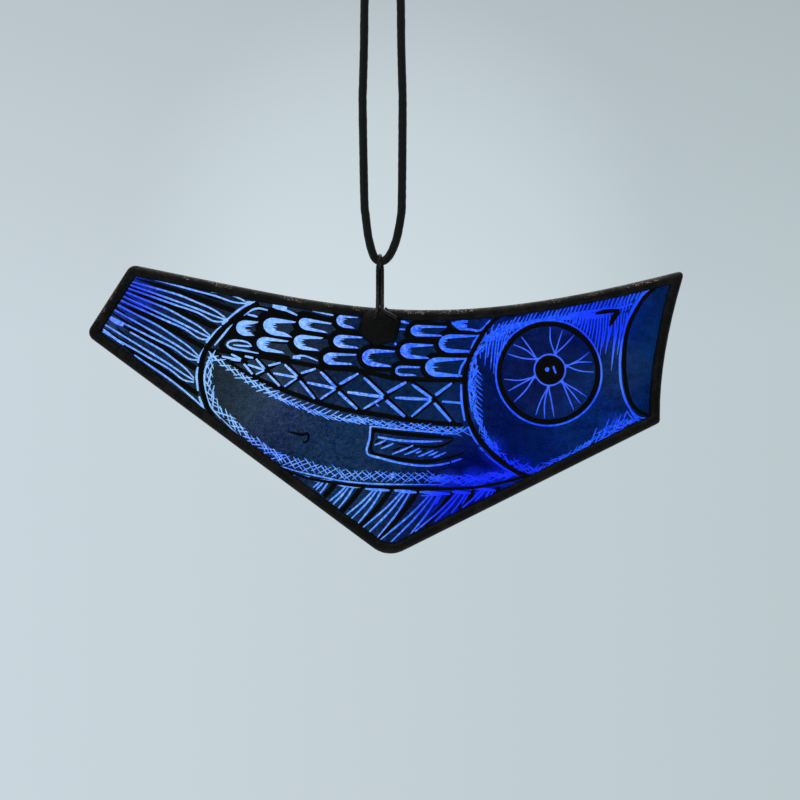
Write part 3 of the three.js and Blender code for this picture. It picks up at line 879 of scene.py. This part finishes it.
def paint_layers():
    """Cuts the face into triangles by every outline at once, and sorts them into wash and trace."""
    field = inset(LOOP, PAINT_INSET)[::BORDER_SKIP]
    groups = ([field], broken_lines, scratched, whole_lines, picked_out)
    points, polygons, kind = [], [], []
    for group, outlines in zip((FIELD, BROKEN, SCRATCHED, WHOLE, PICKED_OUT), groups):
        for outline in outlines:
            polygon = anticlockwise(outline)
            polygons.append(list(range(len(points), len(points) + len(polygon))))
            points += [Vector(p) for p in polygon]
            kind.append(group)
    verts, _, faces, _, _, origins = delaunay_2d_cdt(points, [], polygons, 1, MERGE)
    layers = {"wash": [], "trace": []}
    for face, sources in zip(faces, origins):
        inside = {kind[s] for s in sources}
        bare = PICKED_OUT in inside or (SCRATCHED in inside and WHOLE not in inside)
        if FIELD in inside and not bare:
            layers["trace" if inside & {BROKEN, WHOLE} else "wash"].append(face)
    return verts, layers


def paint(name, verts, faces, thickness):
    """A film of paint, flat behind and a little lumpy in front."""
    used = sorted({v for f in faces for v in f})
    renumber = {v: i for i, v in enumerate(used)}
    flat = [(verts[v].x, verts[v].y) for v in used]
    lumps = 1 + 0.3 * ripple(flat, 1.1, seed=thickness * 50)
    base = -HALF_GLASS - GLASS_WAVE - PAINT_GAP
    front = [place(x, base - thickness * n, z) for (x, z), n in zip(flat, lumps)]
    back = [place(x, base, z) for x, z in flat]
    return thick_sheet(name, front, back, [[renumber[v] for v in f] for f in faces])


THIN_WASH = [  # x, z, core, reach and how much more light the wash lets through there
    (-49.5, -6.5, 1, 7, 0.3),
    (-53, -12, 1, 5, 0.1),
    (30, -11.5, 1, 4, 0.08),
    (37, -10.5, 2, 6, 0.14),
    (45, -12, 2, 8, 0.17),
    (51, -7.5, 1, 5, 0.08),
    (23, -15.5, 1, 6, 0.17),
    (18.6, -24, 1, 3, 0.16),
    (18.8, -31, 1, 3, 0.14),
    (22.4, -37.5, 1, 4, 0.34),
    (28, -42, 1, 5, 0.24),
    (14, -44.6, 1, 4, 0.3),
    (19, -44.4, 1.5, 4.5, 0.6),
    (24, -43.2, 1, 4, 0.5),
    (13, -49, 1, 7, 0.2),
    (47, -33.4, 1, 4.5, 0.24),
    (40, -34, 4, 13, 0.035),
    (46, -26, 3, 12, 0.02),
    (54, -16, 3, 12, 0.03),
    (-21, -29, 3, 12, 0.03),
    (-4, -40, 6, 20, 0.026),
    (14, -33, 3, 10, 0.02),
    (4, -52, 2, 10, 0.02),
]
TEAL_WASH = [(2, -22, 6, 22), (-6, -38, 6, 18), (54, -15, 8, 15), (46, -26, 5, 15), (34, -38, 4, 13)]


def wash_material():
    """Dark paint brushed thin. How much light it lets through changes over the pane."""
    m = Look("dark wash")
    cloud = m.noise(0.5, 6, rough=0.7)
    grain = m.noise(3.5, 3)
    brush = m.noise(0.9, 3, (0.25, 1, 1.6))
    through = m.eastward(-44, -34, 0.045, 0.024)
    for start, end, more in ((-34, -20, 0.016), (2, 22, 0.027)):
        through = m.plus(through, m.eastward(start, end, 0.0, more))
    for x, z, core, reach, more in THIN_WASH:
        through = m.plus(through, m.times(m.near(x, z, core, reach), more))
    texture = m.plus(m.between(cloud, 0.3, 0.75, 0.7, 1.25), m.between(grain, 0.35, 0.7, -0.15, 0.2))
    texture = m.plus(texture, m.between(brush, 0.35, 0.7, -0.1, 0.15))
    through = m.times(through, texture)
    # The film is a closed sheet, so light crosses two of its faces.
    alpha = m.math("SUBTRACT", 1.0, m.math("POWER", m.math("MAXIMUM", through, 0.0), 0.5))
    teal = 0.0
    for x, z, core, reach in TEAL_WASH:
        teal = m.math("MAXIMUM", teal, m.near(x, z, core, reach))
    chalk = m.mix(teal, (0.0003, 0.0018, 0.024, 1), (0.0015, 0.034, 0.06, 1))
    chalk = m.mix(m.near(-27, -24, 5, 22), chalk, (0.042, 0.064, 0.068, 1))
    colour = m.mix(m.between(cloud, 0.3, 0.7), m.mix(0.45, chalk, (0, 0, 0, 1)), chalk)
    m.bump(grain, 0.03, 0.5)
    return m.set(Base_Color=colour, Roughness=0.8, Specular_IOR_Level=0.04, Alpha=alpha)


def trace_material():
    m = Look("black trace")
    grain = m.noise(2.5, 5)
    colour = m.mix(grain, (0.001, 0.0012, 0.0015, 1), (0.004, 0.0042, 0.0046, 1))
    m.bump(grain, 0.05, 0.7)
    roughness = m.between(grain, 0.3, 0.7, 0.45, 0.65)
    return m.set(Base_Color=colour, Roughness=roughness, Specular_IOR_Level=0.14)


# ---- Soldered edge and pad ------------------------------------------------------------------

# The solder's inside, where it goes round the foil.
FOIL_TUNNEL = [(2.0, 1.66), (0.34, 1.66), (0.34, -1.66), (2.0, -1.66)]


def solder_edge():
    """The bead of solder, swept round the pane, uneven as solder run by hand is."""
    front = [(i, -y) for i, y in RIM_PROFILE]
    back = RIM_PROFILE[-2::-1]
    outside = len(front) + len(back)
    front_waves, back_waves = ((ripple(LOOP, 0.16, seed), ripple(LOOP, 0.7, seed + 6)) for seed in (11, 23))
    rings = []
    for step, (depth, y) in enumerate(front + back + FOIL_TUNNEL):
        slow, quick = front_waves if y < 0 else back_waves
        lap = min(depth / 2, 1) if step < outside else 0
        loop = inset(LOOP, depth - EDGE + (slow * 0.08 + quick * 0.05) * lap)
        raised = 0 < step < outside - 1 and abs(y) > 1 and depth > 0
        rises = [math.copysign(r, y) for r in (quick + slow) * 0.05 * raised]
        rings.append([place(x, y + rise, z) for (x, z), rise in zip(loop, rises)])
    swept = [[ring[k] for ring in rings] for k in range(len(LOOP))]
    return loft("soldered_edge", swept, closed_path=True)


def solder_material(name, dark, light, glints):
    """Black patina. On faces that look up near the top of the pane it has small bright copper spots: painted
    highlight glints where light from above would catch, partly also standing for wear through the patina to
    copper.
    """
    m = Look(name)
    mottle = m.noise(0.9, 6, rough=0.65)
    patches = m.between(m.noise(0.35, 6, rough=0.7), 0.44, 0.62)
    fine = m.noise(5.0, 4)
    upward = m.split(m.add("ShaderNodeNewGeometry").outputs["Normal"])["Z"]
    # Painted highlight: copper glints on faces that look up, only near the top of the pane, partly also
    # standing for wear through the patina.
    painted_glints_and_wear = m.times(m.between(upward, 0.1, 0.5), m.between(m.noise(3.0, 5, rough=0.8), 0.56, 0.61))
    painted_glints_and_wear = m.times(m.times(painted_glints_and_wear, m.between(m.noise(0.25, 2), 0.44, 0.56)), glints)
    height = m.split(m.where)["Z"]
    painted_glints_and_wear = m.times(painted_glints_and_wear, m.between(height, place(0, 0, -15).z, place(0, 0, -11).z))
    # The painted glints' bright copper colour.
    colour = m.mix(painted_glints_and_wear, m.mix(patches, dark, light), (0.95, 0.7, 0.58, 1))
    roughness = m.between(fine, 0.3, 0.7, 0.45, 0.65)
    m.bump(m.plus(mottle, m.times(fine, 0.35)), 0.22, 0.8)
    metal = m.times(painted_glints_and_wear, 0.3)
    return m.set(Base_Color=colour, Metallic=metal, Roughness=roughness, Specular_IOR_Level=0.25)


def copper_material():
    m = Look("tarnished copper")
    mottle = m.noise(1.2, 5)
    colour = m.mix(mottle, (0.45, 0.17, 0.09, 1), (0.12, 0.05, 0.03, 1))
    m.bump(m.noise(4.0, 3), 0.02, 0.4)
    return m.set(Base_Color=colour, Metallic=1.0, Roughness=m.between(mottle, 0.3, 0.7, 0.3, 0.55))


def solder_blob():
    """The pad over the hanger's legs: the CAD pad, melted into one lump with the wire channel filled."""
    grain = 0.14  # the size of the melted lump's faces
    foot = 0.35  # from here back, measured from the CAD pad's middle, it lies flat on the glass
    wider, taller_top, six_sided, corner_angle = 1.11, 1.06, 0.04, 0.26
    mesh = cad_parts["solder_pad"].data.copy()
    pad = bpy.data.objects.new("hanger_solder", mesh)
    bpy.context.scene.collection.objects.link(pad)
    mesh.materials.clear()
    remesh = pad.modifiers.new("melt", "REMESH")
    remesh.mode = "VOXEL"
    remesh.voxel_size = grain * MM
    relax = pad.modifiers.new("relax", "SMOOTH")
    relax.iterations = 8
    relax.factor = 0.6
    apply_modifiers(pad)
    centre = middle("solder_pad")
    for v in pad.data.vertices:
        out = (v.co - centre) / MM
        lump = noise.noise(out * 0.55 + Vector((4, 1, 2))) * 0.22 + noise.noise(out * 1.6) * 0.06
        if out.y < foot:
            v.co += Vector((out.x, -1.2, out.z)).normalized() * lump * MM
        six = 1 + six_sided * math.cos(6 * (math.atan2(out.z, out.x) - corner_angle))
        v.co.x = centre.x + (v.co.x - centre.x) * six * wider
        v.co.z = centre.z + (v.co.z - centre.z) * six * (1.0 if out.z < 0 else taller_top)
    pad.data.shade_smooth()
    return pad


def apply_modifiers(obj):
    evaluated = obj.evaluated_get(bpy.context.evaluated_depsgraph_get())
    mesh = bpy.data.meshes.new_from_object(evaluated)
    obj.modifiers.clear()
    obj.data = mesh


def wire_material():
    m = Look("patina wire")
    draw = m.noise(1.6, 4, (3, 3, 0.5))
    spots = m.between(m.noise(2.2, 4), 0.58, 0.7)
    colour = m.mix(draw, (0.010, 0.008, 0.007, 1), (0.05, 0.042, 0.036, 1))
    colour = m.mix(m.times(spots, 0.5), colour, (0.25, 0.13, 0.09, 1))
    m.bump(draw, 0.04, 0.6)
    return m.set(Base_Color=colour, Metallic=0.55, Roughness=m.between(draw, 0.3, 0.7, 0.32, 0.55))


# ---- Cord -----------------------------------------------------------------------------------

CORD_RADIUS = 0.83
CORD_STEP = 0.28  # between the rings of the cord
PLIES = 3
LAY = 5.5  # length of cord in which the plies go once round
FATTER, LUMPY = 0.03, 0.04  # how much thicker the plies and the cord's lumps make it, as shares
WIRE_RADIUS = 0.42
WIRE_STEP = 0.22  # between the rings of the wire
NECK_LEFT, NECK_RIGHT = ((middle(f"cord_neck_{side}") - EYE) / MM for side in ("left", "right"))
KNOT_FOOT = (box_of("cord_knot")[0] - EYE).z / MM


def centre_line(node, count):
    """Points up the middle of an upright CAD cord piece, in drawing millimetres."""
    ends, reach = 0.6, 0.9  # what is left off at each end, and how far up and down a point is averaged
    x, _, z = np.array([(v.co - EYE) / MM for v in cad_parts[node].data.vertices]).T
    line = []
    for height in np.linspace(z.min() + ends, z.max() - ends, count):
        weight = np.exp(-(((z - height) / reach) ** 2))
        line.append(((x * weight).sum() / weight.sum(), 0.0, height))
    return line


def evenly(points, step):
    """A smooth curve through 3-D points, as evenly spaced points."""
    curve = spline(np.array(points, float), [12] * (len(points) - 1))
    length = travelled(curve)[-1]
    return points_at(curve, np.linspace(0, length, max(2, round(length / step))))


def carried(path):
    """Two directions square to the path at each of its points, turning as little as they can."""
    tangents = np.gradient(path, axis=0)
    tangents /= np.linalg.norm(tangents, axis=1, keepdims=True)
    normal = np.cross(tangents[0], (0.3, 0.9, 0.2))  # any direction that isn't along the path would do
    for tangent in tangents:
        normal = normal - tangent * normal.dot(tangent)
        normal /= np.linalg.norm(normal)
        yield normal, np.cross(tangent, normal)


def rings_round(path, sides, radius):
    """Rings of points round a path. radius(k, angle) is how far from its k-th point they lie."""
    angles = [2 * math.pi * s / sides for s in range(sides)]
    rings = []
    for k, (point, (normal, binormal)) in enumerate(zip(path, carried(path))):
        outward = [(a, normal * math.cos(a) + binormal * math.sin(a)) for a in angles]
        rings.append([place(*(point + out * radius(k, a))) for a, out in outward])
    return rings


def cord_rings(points):
    """Rings of a twisted, waxed cord: round, with shallow grooves between its plies."""
    path = evenly(points, CORD_STEP)

    def radius(k, angle):
        twist = 2 * math.pi * k * CORD_STEP / LAY
        ply = FATTER * abs(math.sin(PLIES * (angle - twist) / 2)) ** 0.7
        return CORD_RADIUS * (1 + ply) * (1 + LUMPY * noise.noise(Vector(path[k]) * 0.8))

    return rings_round(path, 18, radius)


def hanger_loop():
    """One length of wire folded over the cord: its legs splay on the pad, and its two strands run
    side by side up the stem and turn front and back round the cord."""
    legs = {-1: [(-1.6, -2.5, -12.2), (-0.9, -3.0, -10.9)], 1: [(3.3, -2.75, -11.6), (2.0, -3.0, -10.8)]}
    halves = {}
    for side, leg in legs.items():
        x = side * (WIRE_RADIUS - 0.01)  # the strands are pressed together a little
        stem = [
            (x * 1.25, -2.75, -9.9), (x * 1.05, -2.35, -9.1), (x, -1.2, -7.6), (x, -0.35, -6.1),
            (x, 0, -4.6), (x, 0, -3.0), (x, side * 0.06, -1.9),
        ]
        eye = [(x * 0.9, side * 0.6, -1.2), (x * 0.5, side * 1.15, -0.5), (x * 0.2, side * 1.25, 0.1)]
        halves[side] = leg + stem + eye
    over = [(0, -0.9, 0.66), (0, 0, 1.02), (0, 0.9, 0.66)]
    path = evenly(halves[-1] + over + halves[1][::-1], WIRE_STEP)
    uneven = [1 + 0.05 * noise.noise(Vector(point) * 1.7) for point in path]
    return loft("hanger_loop", rings_round(path, 14, lambda k, angle: WIRE_RADIUS * uneven[k]))


def cord_material():
    m = Look("waxed cord")
    fibres = m.noise(6.0, 4, (1.6, 1.6, 0.35))
    wax = m.noise(0.7, 5, rough=0.6)
    colour = m.mix(fibres, (0.003, 0.003, 0.0028, 1), (0.014, 0.0142, 0.0135, 1))
    colour = m.mix(m.between(wax, 0.62, 0.8, 0.0, 0.3), colour, (0.07, 0.07, 0.066, 1))
    roughness = m.between(wax, 0.3, 0.7, 0.5, 0.7)
    m.bump(fibres, 0.05, 0.8)
    return m.set(Base_Color=colour, Roughness=roughness, Specular_IOR_Level=0.35, Sheen_Weight=0.05)


IN_KNOT = np.array((0.42, 0.3, 0.5))  # how far each cord lies off the middle line inside the knot
OVERHAND = [  # up inside the knot, over to the right, once round in front and behind, and out at the top
    (0, 0, 0.3), (0, 0, 1.5), (0.2, 0.4, 3.4), (1.5, 0.4, 4.7), (2.2, -0.9, 3.6), (1.0, -2.0, 2.3),
    (-1.3, -1.7, 1.9), (-2.1, 0.1, 2.4), (-0.9, 1.8, 2.9), (1.0, 1.7, 3.6), (0.7, 0.1, 4.6), (0, -0.2, 6.0),
]


def overhand(sign):
    """The path of one of the two cords through the overhand knot that they are tied in together.

    sign is -1 for the left cord and 1 for the right one."""
    foot = np.array(((NECK_LEFT.x + NECK_RIGHT.x) / 2, 0, KNOT_FOOT))
    in_neck = np.array(((NECK_RIGHT.x - NECK_LEFT.x) / 2, 0, 0))
    points = []
    for k, turn in enumerate(OVERHAND):
        inside = math.sin(math.pi * k / (len(OVERHAND) - 1)) ** 0.5
        points.append(tuple(foot + turn + sign * (in_neck * (1 - inside) + IN_KNOT * inside)))
    return points


def loose_end(knot_path, sign):
    """A loose end of the cord, from the top of the knot up."""
    x, y, z = knot_path[-1]
    reach = 1.15 if sign > 0 else 0.9
    tip = (x + sign * 2.2 * reach, y + 1.1 * sign, z + 4.6 * reach)
    return [(x + sign * 0.3, y, z + 1.0), (x + sign * 1.0, y + sign * 0.4, z + 2.8), tip]


# ---- Build ----------------------------------------------------------------------------------

PATINA = ((0.002, 0.0017, 0.0013, 1), (0.02, 0.0155, 0.0115, 1))
# The pad is the same solder as the edge; its patina colours are painted darker here as shade, and it gets few
# painted glints.
PAD_PATINA_PAINTED_DARKER = ((0.001, 0.0009, 0.0008, 1), (0.005, 0.004, 0.0034, 1))
finishes = {
    "glass": glass_material(),
    "wash": wash_material(),
    "trace": trace_material(),
    "solder": solder_material("black patina solder", *PATINA, glints=1.0),
    "pad": solder_material("black solder pad", *PAD_PATINA_PAINTED_DARKER, glints=0.1),
    "copper": copper_material(),
    "wire": wire_material(),
    "cord": cord_material(),
}


def finish(obj, look):
    obj.data.materials.clear()
    obj.data.materials.append(finishes[look])
    return obj


def on_pane(obj, look, slot, *nodes):
    """Finishes a piece that moves with the pane, in place of these CAD nodes."""
    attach(finish(obj, look), "pane")
    if nodes:
        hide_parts(*nodes)


on_pane(glass_pane(), "glass", "blue_glass", "glass_pane")
verts, layers = paint_layers()
for layer, thickness in FILMS.items():
    on_pane(paint(f"painted_{layer}", verts, layers[layer], thickness), layer, "blue_glass")
on_pane(solder_edge(), "solder", "black_solder", "solder_rim")
on_pane(solder_blob(), "pad", "black_solder", "solder_pad")
on_pane(hanger_loop(), "wire", "dark_wire", "hanger_wire")
for node in ("copper_foil", "foil_pad"):
    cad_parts[node].data.materials.clear()
    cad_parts[node].data.materials.append(finishes["copper"])

# The cord is one length. It is cut where two joints meet, into the loop and, on each side, an upper end, a
# neck piece and a knotted end, which moves with the knot.
BEND_TOP = 16  # above here the cord follows the CAD strands
LOOP_TOP = 72  # where the loop piece ends, on the strands
NECK_CUT = NECK_LEFT.z - 0.4  # between the sway and the swing joints
KNOT_CUT = KNOT_FOOT + 0.4  # just inside the knot
BEND = [  # x and z from one strand round under the hanger's wire to the other
    (-3.14, 12.6), (-2.86, 9.0), (-2.43, 5.4), (-2.06, 3.6), (-1.6, 1.9), (-0.95, 0.5), (-0.05, -0.05),
    (0.85, 0.1), (1.66, 0.8), (2.35, 1.9), (3.05, 3.6), (3.55, 5.4), (4.18, 9.0), (4.38, 12.6),
]


def half_cord(side, sign):
    """The cord from above the bend up one strand, through the knot and out to its loose end."""
    strand = [p for p in centre_line(f"cord_strand_{side}", 12) if p[2] > BEND_TOP]
    knot = overhand(sign)
    return strand + knot + loose_end(knot, sign)


def bend_between(obj):
    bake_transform(obj)


rings = cord_rings(half_cord("left", -1)[::-1] + [(x, 0, z) for x, z in BEND] + half_cord("right", 1))
heights = np.array([(sum(ring, Vector()) / len(ring) - EYE).z / MM for ring in rings])
lowest = int(heights.argmin())
cuts = {}
for side, order in (("left", range(lowest, -1, -1)), ("right", range(lowest, len(rings)))):
    cuts[side] = [next(k for k in order if heights[k] > z) for z in (LOOP_TOP, NECK_CUT, KNOT_CUT)]
    cuts[side].append(order[-1])


def cord_piece(name, first, last):
    return finish(loft(name, rings[min(first, last):max(first, last) + 1]), "cord")


loop = cord_piece("cord_loop", cuts["left"][0], cuts["right"][0])
bend_between(loop)
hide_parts("cord_in_eye", *(f"cord_{part}_{side}" for part in ("bend", "strand") for side in cuts))
for side, (low, neck, knot, tip) in cuts.items():
    upper = cord_piece(f"cord_upper_{side}", low, neck)
    bend_between(upper)
    neck_piece = cord_piece(f"cord_neck_piece_{side}", neck, knot)
    bend_between(neck_piece)
    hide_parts(f"cord_neck_{side}")
    knotted = cord_piece(f"cord_knot_{side}", knot, tip)
    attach(knotted, "knot")
    if side == "left":
        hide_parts("cord_knot")

# ---- Setting, camera and light --------------------------------------------------------------

FRAME_WIDTH = 160  # millimetres across the picture at the pane
VIEW_AT = (4.0, -27.8)  # the drawing point in the middle of the picture
CAMERA_AWAY = 600
LENS = 135
LIT_AT = place(4, 0, -28)
FLOOR_RADIUS = 0.5
FLOOR_BELOW = 340


def pale_floor():
    where = place(0, 0, -FLOOR_BELOW)
    bpy.ops.mesh.primitive_circle_add(vertices=96, radius=FLOOR_RADIUS, fill_type="NGON", location=where)
    floor = bpy.context.object
    floor.name = "floor"
    m = Look("pale floor")
    m.set(Base_Color=m.mix(m.noise(0.02, 3), (0.78, 0.84, 0.87, 1), (0.82, 0.87, 0.9, 1)), Roughness=0.9)
    floor.data.materials.append(m.material)


MORE_THROUGH_GLASS = 0.6  # how much more light comes through the glass than the background shows


def sky():
    """Pale all round for what is seen and shone through; dimmer in front for what is reflected."""
    world = bpy.data.worlds.new("studio")
    bpy.context.scene.world = world
    world.use_nodes = True
    n = Nodes(world.node_tree)
    direction = n.add("ShaderNodeTexCoord").outputs["Generated"]
    axes = n.split(direction)
    east = n.between(axes["X"], -0.13, 0.13, shape="LINEAR")
    colour = n.mix(east, srgb(202, 214, 221), srgb(188, 201, 206))
    ahead = n.compare("DOT_PRODUCT", direction, Vector((0, 1, 0.05)).normalized())
    glow = n.between(ahead, 0.9955, 1.0, 1.0, 1.16)
    evenness = n.times(glow, n.between(axes["Z"], 0.02, 0.135, 1.0, 0.83, shape="LINEAR"))
    reflected = n.between(axes["Y"], -0.5, 0.9, 0.28, 1.0)
    ray = n.add("ShaderNodeLightPath").outputs
    shone_through = ray["Is Transmission Ray"]
    seen = n.math("MAXIMUM", ray["Is Camera Ray"], shone_through)
    level = n.mix(seen, reflected, 1.0, kind="FLOAT")
    level = n.math("MULTIPLY_ADD", shone_through, MORE_THROUGH_GLASS, level)
    background = n.tree.nodes["Background"]
    n.join(colour, background.inputs["Color"])
    n.join(n.times(level, evenness), background.inputs["Strength"])


def soft_light(name, where, size, power):
    data = bpy.data.lights.new(name, "AREA")
    data.size = size
    data.energy = power
    light = bpy.data.objects.new(name, data)
    light.location = where
    light.rotation_euler = (LIT_AT - light.location).to_track_quat("-Z", "Y").to_euler()
    bpy.context.scene.collection.objects.link(light)


def camera():
    data = bpy.data.cameras.new("camera")
    data.lens = LENS
    data.sensor_width = FRAME_WIDTH * LENS / CAMERA_AWAY
    obj = bpy.data.objects.new("camera", data)
    obj.location = place(VIEW_AT[0], -CAMERA_AWAY, VIEW_AT[1])
    obj.rotation_euler = (math.pi / 2, 0, 0)
    bpy.context.scene.collection.objects.link(obj)
    bpy.context.scene.camera = obj


pale_floor()
sky()
soft_light("over", place(-200, -500, 600), size=0.5, power=1.2)
soft_light("above_back", place(100, 250, 500), size=0.4, power=1.5)
camera()
bpy.context.scene.view_settings.view_transform = "Standard"

bpy.context.view_layer.update()
